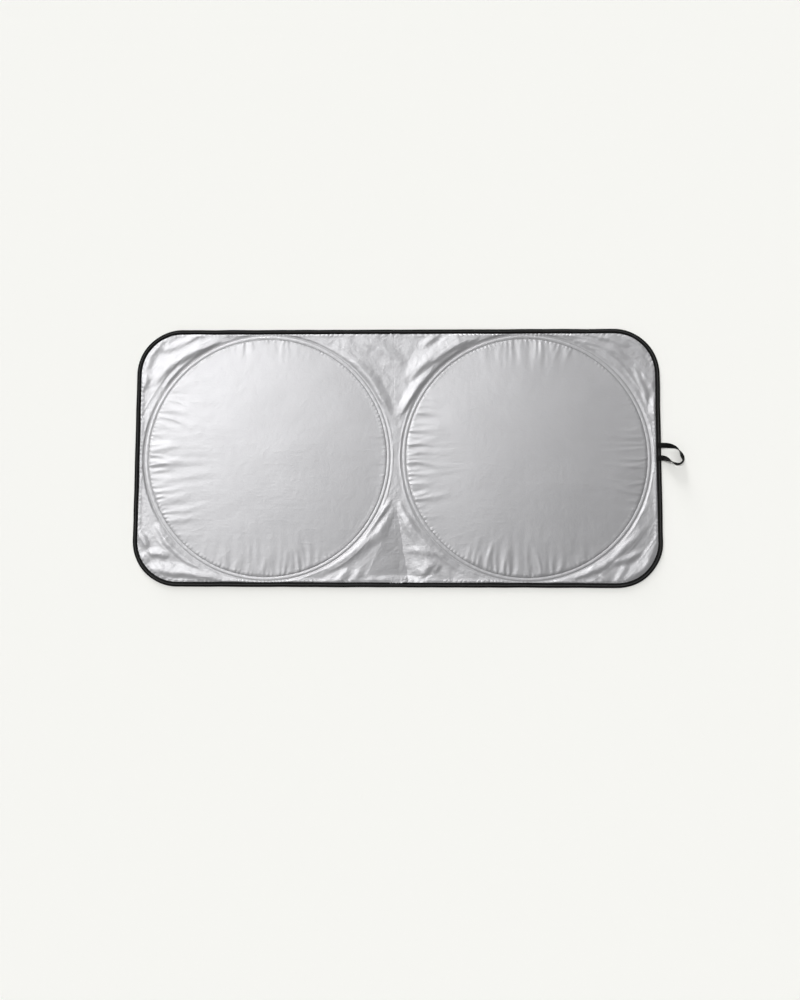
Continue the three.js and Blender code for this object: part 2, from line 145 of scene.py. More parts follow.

# %% [markdown]
# ## How slack cloth folds
# Cloth that has nowhere to go stands up in crests. A crest has a line in plan, a height, and
# two flanks that are rarely equal: the steep one throws the shade, and the shallow one
# catches the light. Each fold of this shade is written as such a crest, in millimetres from
# the panel's middle, so it can be set beside the photograph and moved.
#
# A cloth simulation would make folds too, but not these ones, so they are listed one by one.

# %% Where the crests run
# (points along the crest), height, width of the flank on the left of its direction, on its right.
# A flank that widens along the fold has two widths, at its start and at its end.
FOLDS = [
    # upper left corner
    ([(-702, 205), (-682, 236), (-645, 270), (-600, 297), (-555, 317), (-505, 338)], 4.6, 34, 12),
    ([(-672, 196), (-652, 226), (-617, 261), (-578, 287)], 3.2, 10, 9),
    ([(-728, 244), (-713, 294), (-672, 338)], 3.4, 6, 13),
    ([(-694, 308), (-645, 322), (-600, 342), (-555, 353)], 3.0, 9, 22),
    ([(-730, 190), (-722, 240)], 2.4, 6, 13),
    # lower left corner
    ([(-684, -196), (-652, -248), (-611, -287), (-572, -309), (-520, -333)], 4.0, 9, 11),
    ([(-731, -212), (-704, -262)], 3.8, 8, 15),
    ([(-706, -268), (-680, -281), (-645, -285)], 4.4, 14, 10),
    ([(-722, -275), (-704, -302)], 3.0, 9, 8),
    ([(-704, -318), (-655, -330), (-600, -331), (-545, -341), (-490, -350)], 4.6, 30, 12),
    # upper middle
    ([(-165, 300), (-108, 262), (-64, 212), (-32, 150), (-14, 118)], 3.8, 21, 14),
    ([(38, 214), (66, 252), (110, 286), (160, 312), (238, 352)], 6.5, 46, 13),
    ([(8, 112), (46, 180), (92, 232), (145, 278), (205, 322)], 4.4, 28, 8),
    ([(-120, 352), (-60, 325), (-10, 300), (12, 262)], 3.0, 26, 18),
    ([(70, 318), (96, 338), (120, 350)], 3.4, 12, 10),
    ([(118, 322), (146, 348)], 2.6, 8, 8),
    ([(150, 332), (172, 352)], 2.4, 7, 7),
    # lower middle
    ([(-14, -118), (-52, -180), (-95, -232), (-140, -264)], 4.2, 10, 9),
    ([(-8, -140), (-34, -196), (-74, -240), (-128, -275), (-220, -322)], 3.7, (16, 30), (16, 24)),
    ([(8, -122), (34, -182), (72, -235), (122, -272), (190, -306)], 3.8, 10, (18, 40)),
    ([(30, -262), (100, -272), (165, -292)], 4.0, 14, 14),
    ([(122, -308), (94, -311), (80, -330), (64, -352)], 4.6, 12, 46),
    ([(-170, -354), (-132, -316)], 2.6, 9, 16),
    ([(-130, -354), (-96, -316)], 2.8, 9, 17),
    ([(-84, -348), (50, -346)], 2.4, 7, 5),
    ([(104, -328), (122, -306)], 3.0, 8, 8),
    # upper right corner
    ([(498, 345), (560, 329), (622, 308), (664, 280)], 3.4, 11, 13),
    ([(600, 352), (640, 330), (668, 316)], 2.4, 8, 9),
    ([(732, 205), (716, 236)], 2.8, 9, 8),
    ([(734, 172), (731, 140), (730, 108)], 3.2, 4, 15),
    ([(702, 246), (724, 214), (733, 186)], 3.0, 5, 14),
    ([(676, 262), (694, 226), (708, 180), (716, 140)], 2.4, 9, 9),
    ([(470, 352), (540, 343), (606, 322)], 2.6, 7, 9),
    ([(556, 353), (616, 340), (664, 314)], 3.0, 6, 9),
    ([(524, 330), (584, 306), (638, 268), (676, 230)], 2.4, 7, 12),
    ([(640, 352), (684, 330), (712, 298)], 2.6, 8, 6),
    # lower right corner
    ([(706, -192), (656, -243), (624, -276), (586, -305), (540, -329), (492, -348)], 3.4, 10, 13),
    ([(694, -264), (650, -288), (600, -302)], 3.4, 10, 10),
    ([(650, -308), (620, -352)], 4.0, 9, 14),
    ([(737, -236), (722, -270), (704, -304), (680, -330), (628, -353)], 5.4, 6, 24),
    ([(572, -334), (602, -353)], 2.8, 8, 8),
]
print(len(FOLDS), "folds")

# %% [markdown]
# ## The height of one crest
# Every point of the cloth finds the nearest place on the crest's line, and which side of it
# it is on. The height falls off in a straight flank from there, with a rounded top, because
# coated cloth is stiff and creases more than it curves. The crest sinks and narrows towards
# its ends.

# %% Height of a crest
CREST_ROUNDING = 1.5


def rounded_path(points, passes):
    """The path with its corners cut off passes times, and its ends kept."""
    line = np.array(points, float)
    for _ in range(passes):
        near, far = 0.75 * line[:-1] + 0.25 * line[1:], 0.25 * line[:-1] + 0.75 * line[1:]
        cut = np.stack([near, far], 1).reshape(-1, line.shape[1])
        line = np.concatenate([line[:1], cut, line[-1:]])
    return line


def crest_height(x, y, points, height, left, right):
    """Height in metres that one crest adds at every point (x, y), which are in millimetres."""
    line = rounded_path(points, 3)
    left, right = (flank if isinstance(flank, tuple) else (flank, flank) for flank in (left, right))
    reach = max(left + right)
    near = (x > line[:, 0].min() - reach) & (x < line[:, 0].max() + reach)
    near &= (y > line[:, 1].min() - reach) & (y < line[:, 1].max() + reach)
    px, py = x[near], y[near]
    step = np.diff(line, axis=0)
    length = np.hypot(*step.T)
    run = np.concatenate([[0], np.cumsum(length)])
    best = np.full(px.shape, 1e9)
    along = np.zeros(px.shape)
    side = np.zeros(px.shape)
    for (ax, ay), (dx, dy), size, start in zip(line[:-1], step, length, run):
        share = np.clip(((px - ax) * dx + (py - ay) * dy) / size**2, 0, 1)
        off_x, off_y = px - ax - share * dx, py - ay - share * dy
        distance = np.hypot(off_x, off_y)
        closer = distance < best
        best = np.where(closer, distance, best)
        along = np.where(closer, (start + share * size) / run[-1], along)
        side = np.where(closer, dx * off_y - dy * off_x, side)
    on_left, on_right = (a + (b - a) * along for a, b in (left, right))
    width = np.where(side > 0, on_left, on_right)
    taper = np.clip(np.minimum(along, 1 - along) * 4, 0, 1)
    width = width * (0.5 + 0.5 * taper)
    rounded = np.hypot(best, CREST_ROUNDING) - CREST_ROUNDING
    found = np.zeros(x.shape)
    found[near] = height * MM * np.clip(1 - rounded / width, 0, 1) * taper * (1.3 - 0.3 * taper)
    return found


highest = max(crest_height(*np.array(fold[0], float).T, *fold).max() for fold in FOLDS)
print("the highest fold stands", round(highest / MM, 1), "mm up")

# %% [markdown]
# ## Flat facets
# Coated cloth that has been coiled up stays crushed: flat facets meet at straight creases.
# Points at random, with a random height each, are joined into triangles, and the cloth takes
# the height of the triangle that it is in.

# %% Facets
def facets(x, y, points, heights):
    """Height at every point (x, y) of the triangles between points."""
    points = [Vector(point) for point in points]
    corners, _, triangles, source, _, _ = geometry.delaunay_2d_cdt(points, [], [], 0, 1e-4)
    found = np.zeros(x.shape)
    for triangle in triangles:
        (ax, ay), (bx, by), (cx, cy) = (corners[k] for k in triangle)
        at_a, at_b, at_c = (heights[source[k][0]] for k in triangle)
        near = (x >= min(ax, bx, cx)) & (x <= max(ax, bx, cx))
        near = np.flatnonzero(near & (y >= min(ay, by, cy)) & (y <= max(ay, by, cy)))
        size = (bx - ax) * (cy - ay) - (cx - ax) * (by - ay)
        if not len(near) or abs(size) < 1e-6:
            continue
        px, py = x[near], y[near]
        b = ((px - ax) * (cy - ay) - (cx - ax) * (py - ay)) / size
        c = ((bx - ax) * (py - ay) - (px - ax) * (by - ay)) / size
        inside = (b >= 0) & (c >= 0) & (b + c <= 1)
        level = (1 - b - c) * at_a + b * at_b + c * at_c
        found[near[inside]] = level[inside]
    return found


def crushed(x, y, pitch, seed):
    """Random facets with the given pitch in millimetres, from -1 to 1."""
    draw = np.random.default_rng(seed)
    across, along = np.meshgrid(np.arange(-800, 801, pitch), np.arange(-420, 421, pitch))
    points = np.stack([across.ravel(), along.ravel()], 1)
    points = points + draw.uniform(-0.45, 0.45, points.shape) * pitch
    return facets(x, y, points, draw.uniform(-1, 1, across.size))


corner_heights = crushed(np.array([-700.0, 700.0]), np.array([300.0, 300.0]), 46, 3)
print("facets at two corners of the panel, from -1 to 1:", corner_heights.round(2))

# %% [markdown]
# ## Tools for soft shapes
# Three small functions serve all the cloth: a step that starts and ends gently, a noise whose
# middle values become sharp creases, and a slow drift that keeps lines from being straight
# and rows from being even. The noise in mathutils gives the same values on every run.

# %% Soft step, creases and drift
def smooth(value):
    value = np.clip(value, 0, 1)
    return value * value * (3 - 2 * value)


def ridges(a, b, seed):
    """Crumpled like paper: 1 on sharp creases and lower between them. a and b count creases."""
    return 1 - 2 * np.abs([noise.noise(Vector((p, q, seed))) for p, q in zip(a, b)])


def drift(x, y, size, seed):
    """Smooth random values from about -1 to 1, with the given spacing in metres."""
    return np.array([noise.noise(Vector((a / size, b / size, seed))) for a, b in zip(x, y)])


print("a quarter of the way along, the soft step is at", smooth(0.25))

# %% [markdown]
# ## Gathers
# Inside a hoop the cloth is drawn tight, and small gathers run in from the seam where the
# threads meet it squarely. So they come in four groups, and fade on the diagonals. Each group
# has long soft waves along the threads, a narrow wedge at each small pleat that was caught in
# the seam, and a pucker between stitches. The pleats are scattered by a sine that is cut off
# to its last digits, which is a simple way to draw the same random values every time.

# %% Gathers along the inner seam
# round each axis of a disc: direction in degrees, spread to each side, reach in mm, strength
GATHERS = {
    -1: [(0, 22, 60, 0.3), (90, 30, 80, 0.5), (180, 62, 250, 0.8), (270, 44, 190, 0.65)],
    1: [(0, 40, 190, 0.6), (90, 34, 130, 0.8), (180, 44, 200, 1.0), (270, 47, 170, 1.0)],
}
WAVE_HEIGHT = 1.5 * MM


def scattered(angle, size):
    return math.sin(angle) * size % 1


def wedges(inwards, across, fade_start, middle, spread, reach, side):
    """Height of the small pleats of one group."""
    total = np.zeros(inwards.shape)
    half_span = INNER_SEAM * math.sin(math.radians(spread))
    place, number = -half_span, 0
    while place < half_span:
        gap = scattered(number * 12.9898 + middle + side, 43758.5453)
        size = scattered(number * 78.233 + middle - side, 24634.6345)
        place, number = place + (8 + 9 * gap) * MM, number + 1
        slant = scattered(number * 41.417 + 2 * middle + side, 35318.317)
        run = np.clip(inwards / (reach * (0.12 + 0.5 * size**2) * MM), 0, 1)
        off_line = np.abs(across - place - 0.9 * (slant - 0.5) * inwards * run)
        wedge = np.clip(1 - off_line / ((2.6 + 3.5 * slant + 9 * run) * MM), 0, 1)
        total += (0.9 + 1.7 * size) * MM * wedge * fade_start * (1 - run)
    return total


def gathers(x, y, angle, from_seam, side):
    """Height of the waves, wedges and puckers inside one hoop."""
    off_x = x - side * HOOP_CENTRE
    bend = 7 * MM * drift(x, y, 0.08, side + 31) + 2.5 * MM * drift(x, y, 0.028, side + 37)
    start = smooth(from_seam / (4 * MM))
    total = np.zeros(x.shape)
    for middle, spread, reach, strength in GATHERS[side]:
        along, across = (y, off_x) if middle in (90, 270) else (off_x, y)
        inwards = np.sqrt(np.maximum(INNER_SEAM**2 - across**2, 0)) - np.abs(along)
        off = np.abs((angle - middle + 180) % 360 - 180)
        share = strength * smooth(1.6 * (1 - off / spread))
        fade = np.clip(1 - inwards / (reach * MM), 0, 1) ** 1.3
        across = across + bend
        waves = ridges(along / 0.16, across / 0.019, side + middle / 50)
        total += WAVE_HEIGHT * share * fade * smooth(from_seam / (9 * MM)) * waves
        total += share * (off < 90) * wedges(inwards, across, start, middle, spread, reach, side)
    at_stitches = np.abs(np.sin(np.radians(angle) * 90 + 1.5 * drift(x, y, 0.03, 41)))
    pucker = at_stitches * np.clip(1 - from_seam / (13 * MM), 0, 1) * smooth(from_seam / (2.5 * MM))
    return total + (0.45 + 0.4 * drift(x, y, 0.025, 43)) * MM * pucker


print(sum(len(groups) for groups in GATHERS.values()), "groups of gathers")

# %% [markdown]
# ## Inside a hoop and over its wire
# The drawn cloth isn't flat. It rises in a shallow crown, and on this shade the right one is
# the higher. At the seam it is held down on the tape. Between the two seams of a casing the
# wire pushes it up into a narrow ridge, which is what the ring in the picture is.

# %% Height inside the inner seam, and of the ridge over the wire
CROWN = {-1: 8.5 * MM, 1: 13 * MM}
RIDGE_HEIGHT = RIDGE_WIDTH = 2.6 * MM


def disc_height(x, y, side, radius, angle):
    from_seam = np.maximum(0, INNER_SEAM - radius)
    crown = CROWN[side] * (1 - (radius / INNER_SEAM) ** 2)
    puff = 0.2 * MM * smooth(from_seam / (6 * MM))
    wave = np.array([noise.fractal(Vector((a * 5, b * 9, 0.3)), 1.0, 2.0, 3) for a, b in zip(x, y)])
    level = SEAM_LEVEL + crown + puff + gathers(x, y, angle, from_seam, side)
    return level + 0.5 * MM * wave * smooth(from_seam / (40 * MM))


def ridge_height(radius, angle):
    half = np.where(radius < HOOP_RADIUS, HOOP_RADIUS - INNER_SEAM, OUTER_SEAM - HOOP_RADIUS)
    arch = np.clip(1 - np.abs(radius - HOOP_RADIUS) / half, 0, 1)
    pucker = 0.15 * MM * np.sin(np.radians(angle) * 90) * np.sin(arch * math.pi)
    off_wire = np.abs(radius - HOOP_RADIUS) / RIDGE_WIDTH
    return SEAM_LEVEL + RIDGE_HEIGHT * (1 - (1 - arch) ** 4) / (1 + off_wire**3) + pucker


over_wire = ridge_height(np.array([HOOP_RADIUS]), np.array([0.0]))[0]
print("over the wire the cloth's underside is", round(over_wire / MM, 2), "mm up")

# %% [markdown]
# ## The slack cloth
# Outside the hoops nothing draws the cloth tight. It takes the folds that were listed above,
# random creases and facets between them, and short crimps where it is a narrow strip. It is
# held down beside the casing and under the binding, whose seam pulls it into small pleats.
# The folds' own lines are bent a little, so that none of them is a clean curve.

# %% Height of the slack cloth, and of all of it
# random facets: pitch in mm, height in mm, seed
FACETS = [(46, 0.7, 3), (19, 0.3, 8)]


def bent(values, x, y, seed):
    """values in millimetres, moved a few millimetres to and fro."""
    return values / MM + 5 * drift(x, y, 0.05, seed) + 2.2 * drift(x, y, 0.018, seed + 20)


def slack_height(x, y, side, radius):
    turn = np.arctan2(y, -side * (x - side * HOOP_CENTRE))
    from_casing = np.maximum(0, radius - CASING_OUTER - 0.3 * MM)
    from_binding = np.maximum(0, inset_of(x, y) - BINDING_WIDTH)
    free = smooth(from_casing / (8 * MM)) * smooth(from_binding / (4 * MM))
    rise = 0.7 * MM * smooth((radius - OUTER_SEAM) / (7 * MM)) * smooth(from_binding / (4 * MM))
    bent_x, bent_y = bent(x, x, y, 1), bent(y, x, y, 4)
    folds = np.zeros(x.shape)
    for fold in FOLDS:
        folds = np.maximum(folds, crest_height(bent_x, bent_y, *fold))
    crumple = 0.6 * MM * ridges(turn * 2.6, radius / 0.04, 1.7) * smooth(np.abs(x) / (45 * MM))
    outside = radius > OUTER_SEAM
    for pitch, height, seed in FACETS:
        crumple[outside] += height * MM * crushed(bent_x[outside], bent_y[outside], pitch, seed)
    pleats = np.abs(np.sin((x + y) * math.pi / (13 * MM) + 2 * drift(x, y, 0.06, 12)))
    pleats = pleats * np.clip(1 - from_binding / (12 * MM), 0, 1)
    pleats = pleats * smooth(from_binding / (2 * MM)) * smooth(from_casing / (6 * MM))
    narrow = smooth(from_casing / (4 * MM)) * smooth(from_binding / (3 * MM)) * (1 - free)
    crimp = 1.1 * MM * ridges((x + y) / 0.028, (x - y) / 0.022, 15.5)
    return SEAM_LEVEL + rise + 1.6 * MM * pleats + free * (folds + crumple) + narrow * crimp


def cloth_height(x, y, side):
    """Height of the cloth's underside, in metres, over one hoop's half of the panel."""
    off_x = x - side * HOOP_CENTRE
    radius = np.hypot(off_x, y)
    angle = np.degrees(np.arctan2(y, off_x)) % 360
    slack, ridge = slack_height(x, y, side, radius), ridge_height(radius, angle)
    height = np.where(radius < OUTER_SEAM, ridge, slack)
    height = np.where(radius <= INNER_SEAM, disc_height(x, y, side, radius, angle), height)
    return np.maximum(height, 0.2 * MM)


for side in (-1, 1):
    middle = cloth_height(np.array([side * HOOP_CENTRE]), np.zeros(1), side)[0]
    print("the middle of a disc is", round(middle / MM, 1), "mm up")

# %% [markdown]
# ## The cloth
# The cloth is one sheet. Its mesh follows what shapes it: rings of points round each hoop,
# close together at the seams and further apart in the middle. Each ring is made with
# create_circle, and bridge_loops joins it to the next. The middle needs fewer points, so the
# rim is subdivided once wherever the next ring has twice as many.
#
# Past the outer seam the rings are first made a millimetre apart. They are then spread out
# to the inner edge of the binding, and the last one goes on to the fold of the tape, which
# hides the cloth's raw edge. Towards the middle line they end on it.

# %% Rings of the cloth, from the middle of a hoop outwards
RIM_POINTS = 576
STEPS_TO_BINDING = 20
EDGE_INSET = 1 * MM
# number of points, and shares of the inner seam's radius
MIDDLE_RINGS = [
    (RIM_POINTS // 8, (0.07, 0.14, 0.21, 0.28, 0.35)),
    (RIM_POINTS // 4, (0.40, 0.45, 0.50)),
    (RIM_POINTS // 2, (0.545, 0.585, 0.625, 0.665, 0.705, 0.745, 0.785)),
]


def cloth_rings():
    """(radius, number of points) of every ring."""
    rings = [(INNER_SEAM * share, count) for count, shares in MIDDLE_RINGS for share in shares]
    radii = [INNER_SEAM - gap * MM for gap in (60, 47, 36, 26, 17, 9.5, 4.6, 1.7, 0)]
    radii += [HOOP_RADIUS + gap * MM for gap in (-3.9, -2.6, -1.3, 0, 1.3, 2.6, 3.9)]
    radii += [OUTER_SEAM + step * MM for step in range(STEPS_TO_BINDING + 2)]
    return rings + [(radius, RIM_POINTS) for radius in radii]


def half_cloth(side):
    bm = bmesh.new()
    for radius, count in cloth_rings():
        rim = [e for e in bm.edges if e.is_boundary]
        if rim and len(rim) < count:
            bmesh.ops.subdivide_edges(bm, edges=rim, cuts=1)
            rim = [e for e in bm.edges if e.is_boundary]
        bmesh.ops.create_circle(bm, segments=count, radius=radius, cap_ends=not rim, cap_tris=True)
        if rim:
            bmesh.ops.bridge_loops(bm, edges=rim + [e for e in bm.edges if e.is_wire])
    place = np.array([v.co[:2] for v in bm.verts])
    radius = np.hypot(*place.T)
    angle = np.arctan2(place[:, 1], place[:, 0])
    share = (radius - OUTER_SEAM) / (STEPS_TO_BINDING * MM)
    last = ray_length(angle, EDGE_INSET)
    at_middle_line = last * np.cos(angle) > HOOP_CENTRE - 1e-6
    end = np.where(at_middle_line, last, ray_length(angle, BINDING_WIDTH - EDGE_INSET))
    spread = OUTER_SEAM + (end - OUTER_SEAM) * np.clip(share, 0, 1) ** 1.1
    spread = np.where(share > 1.0001, last, spread)
    radius = np.where(radius > OUTER_SEAM + 1e-6, spread, radius)
    x = side * (HOOP_CENTRE - radius * np.cos(angle))
    y = radius * np.sin(angle)
    for vert, *co in zip(bm.verts, x, y, cloth_height(x, y, side)):
        vert.co = co
    if side > 0:
        bmesh.ops.reverse_faces(bm, faces=bm.faces)
    return bm


print(len(cloth_rings()), "rings to each half")

# %% [markdown]
# ## The two halves become one sheet
# The halves are mirror images in plan, and their rims meet on the middle line, where the
# doubled points are merged. The sheet gets its thickness last, from a Solidify modifier that
# works upwards. Its second side can then have a finish of its own: this cloth is silver on
# the face and bare on the back.

# %% Join the halves and give the cloth its thickness
CLOTH_THICKNESS = 0.25 * MM


def mesh_object(bm, name, smooth_faces=True):
    mesh = bpy.data.meshes.new(name)
    bm.to_mesh(mesh)
    bm.free()
    if smooth_faces:
        mesh.shade_smooth()
    made = bpy.data.objects.new(name, mesh)
    bpy.context.collection.objects.link(made)
    return made


both = half_cloth(-1)
other_half = bpy.data.meshes.new("other_half")
half_cloth(1).to_mesh(other_half)
both.from_mesh(other_half)
bpy.data.meshes.remove(other_half)
on_middle_line = [v for v in both.verts if abs(v.co.x) < 0.2 * MM]
bmesh.ops.remove_doubles(both, verts=on_middle_line, dist=0.3 * MM)
bmesh.ops.recalc_face_normals(both, faces=both.faces)
if sum(f.normal.z for f in both.faces) < 0:
    bmesh.ops.reverse_faces(both, faces=both.faces)
cloth = mesh_object(both, "silver_cloth")
thick = cloth.modifiers.new("thickness", "SOLIDIFY")
thick.thickness = CLOTH_THICKNESS
thick.offset = 1
thick.use_rim = True
thick.material_offset = 1
print(len(cloth.data.polygons), "faces in the cloth's sheet")

# %% [markdown]
# ## Ribbons
# The binding, the casing tapes and the loop are all a section carried along a path. A grid
# from create_grid is that already, once its columns are taken as steps along the path and
# its rows as steps round the section. Its points are moved into place, and the edges that
# meet are welded. The grid also gives each ribbon a UV map in real lengths, so a woven
# pattern follows the tape round every corner.

# %% Ribbon helpers
WELD = 0.01 * MM


def ribbon(name, steps, around, place, lengths, closed_path=True):
    """place(u, v) gives points for arrays of u along the path and v round the section, 0 to 1."""
    bm = bmesh.new()
    bmesh.ops.create_grid(bm, x_segments=steps, y_segments=around, size=0.5, calc_uvs=True)
    uv_layer = bm.loops.layers.uv.verify()
    for face in bm.faces:
        for corner in face.loops:
            u, v = corner.vert.co.x + 0.5, corner.vert.co.y + 0.5
            corner[uv_layer].uv = (u * lengths[0], v * lengths[1])
    shares = np.array([vert.co[:2] for vert in bm.verts]) + 0.5
    for vert, co in zip(bm.verts, np.array(place(*shares.T)).T):
        vert.co = co
    bmesh.ops.remove_doubles(bm, verts=bm.verts, dist=WELD)
    if not closed_path:
        bmesh.ops.holes_fill(bm, edges=[e for e in bm.edges if e.is_boundary], sides=0)
    bmesh.ops.recalc_face_normals(bm, faces=bm.faces)
    return mesh_object(bm, name)


def sample_path(points, share):
    """Points at shares of the length of a polyline."""
    points = np.array(points, float)
    run = np.concatenate([[0], np.cumsum(np.hypot(*np.diff(points[:, :2], axis=0).T))])
    return np.stack([np.interp(share * run[-1], run, measure) for measure in points.T])


def round_section(section, v):
    """Both measures of a section, whose last point is its first, at shares v of the way round."""
    index = v * (len(section) - 1)
    return np.stack([np.interp(index, range(len(section)), measure) for measure in zip(*section)])


print("halfway along a short path:", sample_path([(0, 0), (1, 0), (1, 1)], 0.5))

# %% [markdown]
# ## The edge binding
# The binding is one woven tape, folded lengthways over the raw edge and sewn near its inner
# side. Folded tape doesn't lie like a flat bar: it swells between the fold and the seam, and
# the seam draws it into a row of tiny dimples. It also wanders a little, because nothing
# holds the edge straight. The section below goes round the folded tape's outside.

# %% Outline of the panel, and the binding round it
CORNER_STEPS = 24


def outline(share):
    """Point on the outline, and its outward direction, at shares of the way round."""
    across, along = HALF_WIDTH - CORNER_RADIUS, HALF_HEIGHT - CORNER_RADIUS
    corners = [(across, along), (-across, along), (-across, -along), (across, -along)]
    table = []
    for quarter, (cx, cy) in enumerate(corners):
        for step in range(CORNER_STEPS + 1):
            turn = (quarter + step / CORNER_STEPS) * math.pi / 2
            x, y = cx + CORNER_RADIUS * math.cos(turn), cy + CORNER_RADIUS * math.sin(turn)
            table.append((x, y, turn))
    table.append((HALF_WIDTH, along, 2 * math.pi))
    return sample_path(table, share)


OUTLINE_LENGTH = 4 * (HALF_WIDTH + HALF_HEIGHT - 2 * CORNER_RADIUS) + 2 * math.pi * CORNER_RADIUS
DIMPLES = round(OUTLINE_LENGTH / (7 * MM))
# (distance in from the outline, height), in millimetres
BINDING_SECTION = [
    (14.0, 1.30), (13.2, 1.85), (12.0, 1.75), (10.6, 2.25), (8.6, 2.75), (6.4, 2.95),
    (4.2, 2.80), (2.2, 2.35), (0.7, 1.65), (0.1, 0.95), (0.6, 0.30), (2.4, 0.05),
    (6.0, 0.02), (10.0, 0.02), (13.4, 0.05), (14.0, 0.45), (14.0, 1.30),
]


def round_noise(share, size, seed):
    """Noise along the outline that closes on itself."""
    turns = 2 * math.pi * share
    return np.array([noise.noise(Vector((math.cos(a), math.sin(a), seed)) * size) for a in turns])


def place_binding(u, v):
    x, y, turn = outline(u)
    inset, height = round_section(BINDING_SECTION, v) * MM
    on_top = smooth((height - 1.2 * MM) / (1 * MM))
    near_seam = np.exp(-(((inset - 12 * MM) / (2.6 * MM)) ** 2))
    at_dimple = np.cos(2 * math.pi * DIMPLES * u)
    height = height - 0.22 * MM * on_top * near_seam * (1 + at_dimple)
    height = height + 0.25 * MM * round_noise(u, 30, 3.7) * on_top
    scallop = 0.18 * MM * at_dimple * (inset > 13 * MM)
    inset = np.maximum(inset + 0.9 * MM * round_noise(u, 9, 8.1) + scallop, -0.2 * MM)
    return x - inset * np.cos(turn), y - inset * np.sin(turn), height


binding = ribbon("bound_edge", 1240, len(BINDING_SECTION), place_binding, (OUTLINE_LENGTH, 34 * MM))
print(len(binding.data.polygons), "faces in the binding")

# %% [markdown]
# ## Casings, wires and sleeves
# On the back, each hoop runs under a woven tape 17 mm wide with a seam along each edge. The
# wire inside isn't closed: its two ends butt in a short steel sleeve, which is crimped in a
# few places so that they can't pull out. The CAD's wires and sleeves are already what the
# real ones look like, so only the tapes are made again, with edges that the seams draw into
# small scallops.

# %% Casing tapes
SCALLOPS = 306
# (distance out from the tape's inner edge, height), in millimetres
CASING_SECTION = [
    (0, 0.02), (0.5, 0.0), (1.2, 0.02), (8.5, 0.0), (15.8, 0.02), (16.5, 0.0), (17, 0.02),
    (17, 0.5), (16.5, 0.52), (8.5, 0.5), (0.5, 0.52), (0, 0.5), (0, 0.02),
]


def casing_round(side):
    def place(u, v):
        turn = 2 * math.pi * u
        out, height = round_section(CASING_SECTION, v) * MM
        radius = CASING_INNER + out
        at_edge = np.abs(radius - (CASING_INNER + CASING_OUTER) / 2) > 6 * MM
        radius = radius + at_edge * 0.12 * MM * np.sin(turn * SCALLOPS)
        return side * HOOP_CENTRE + radius * np.cos(turn), radius * np.sin(turn), height
    return place


casing_lengths = (2 * math.pi * HOOP_RADIUS, 35 * MM)
casings = {
    word: ribbon(f"{word}_casing", 721, len(CASING_SECTION), casing_round(side), casing_lengths)
    for word, side in (("left", -1), ("right", 1))
}
print(f"casing tapes from {CASING_INNER:.4f} to {CASING_OUTER:.4f} m round each hoop's centre")

# %% [markdown]
# ## The loop of webbing
# A strap is sewn to the right-hand end as a loop, to hang the coiled shade up by. It leaves
# the edge flat, turns onto its side, so that its bow stands on edge, and comes back flat.
# Webbing is stiff along its length and twists easily, so the loop is written as stations
# that say where the strap's middle is and how far it has turned. The strap's lowest edge
# rests on the binding and, further out, on the ground.

# %% Loop of webbing
# (out from the panel's edge, along it from the loop's middle, turn in degrees), in millimetres
LOOP_STATIONS = [
    (-13, 18, 0), (4, 18, 0), (18, 17.4, 24), (30, 14.7, 52), (43.8, 9.2, 90), (53, -2, 126),
    (57.7, -12.4, 150), (60.5, -21, 130), (59, -28, 114), (52.5, -34, 110), (44, -36.5, 108),
    (35, -33.4, 98), (27, -28, 72), (19, -23.5, 42), (11, -20, 12), (4, -18, 0), (-13, -18, 0),
]
LOOP_MIDDLE_Y = 14.5
HALF_STRAP, HALF_THICKNESS = 15 / 2, 1.7 / 2
w, t = HALF_STRAP, HALF_THICKNESS
underside = [(-w, 0), (-w + 0.25, -t * 0.8), (-w + 0.9, -t), (0, -t), (w - 0.9, -t)]
underside.append((w - 0.25, -t * 0.8))
STRAP_SECTION = underside + [(-a, -b) for a, b in underside] + underside[:1]
NEXT_TO = 0.004


def place_loop(u, v):
    path = rounded_path(LOOP_STATIONS, 4)
    out, along, turn = sample_path(path, u)
    before, after = (sample_path(path, np.clip(u + step, 0, 1)) for step in (-NEXT_TO, NEXT_TO))
    ahead = after - before
    size = np.hypot(ahead[0], ahead[1])
    sin, cos = np.sin(np.radians(turn)), np.cos(np.radians(turn))
    over, through = round_section(STRAP_SECTION, v)
    sideways = over * cos - through * sin
    x = HALF_WIDTH / MM + out - sideways * ahead[1] / size
    y = LOOP_MIDDLE_Y + along + sideways * ahead[0] / size
    lowest = HALF_STRAP * np.abs(sin) + HALF_THICKNESS * np.abs(cos)
    foot = 2.55 * (1 - smooth(out / 26)) + 0.5 * smooth((4 - out) / 4) * smooth((out + 14) / 3)
    z = foot + lowest + over * sin + through * cos
    return x * MM, y * MM, z * MM


strap_lengths = (200 * MM, 32 * MM)
loop = ribbon("webbing_loop", 220, len(STRAP_SECTION), place_loop, strap_lengths, closed_path=False)
print(len(loop.data.polygons), "faces in the loop")

# %% [markdown]
# ## Stitches
# A seam is a row of short lengths of thread that dip into the cloth at both ends. One stitch
# is made from a small sphere, drawn out and bent down at its tips, and copied along the
# seam. There are thousands, so one has only a few dozen faces. The panel has two rows on
# each hoop's casing, seen on the face and on the back, and one row on the binding.

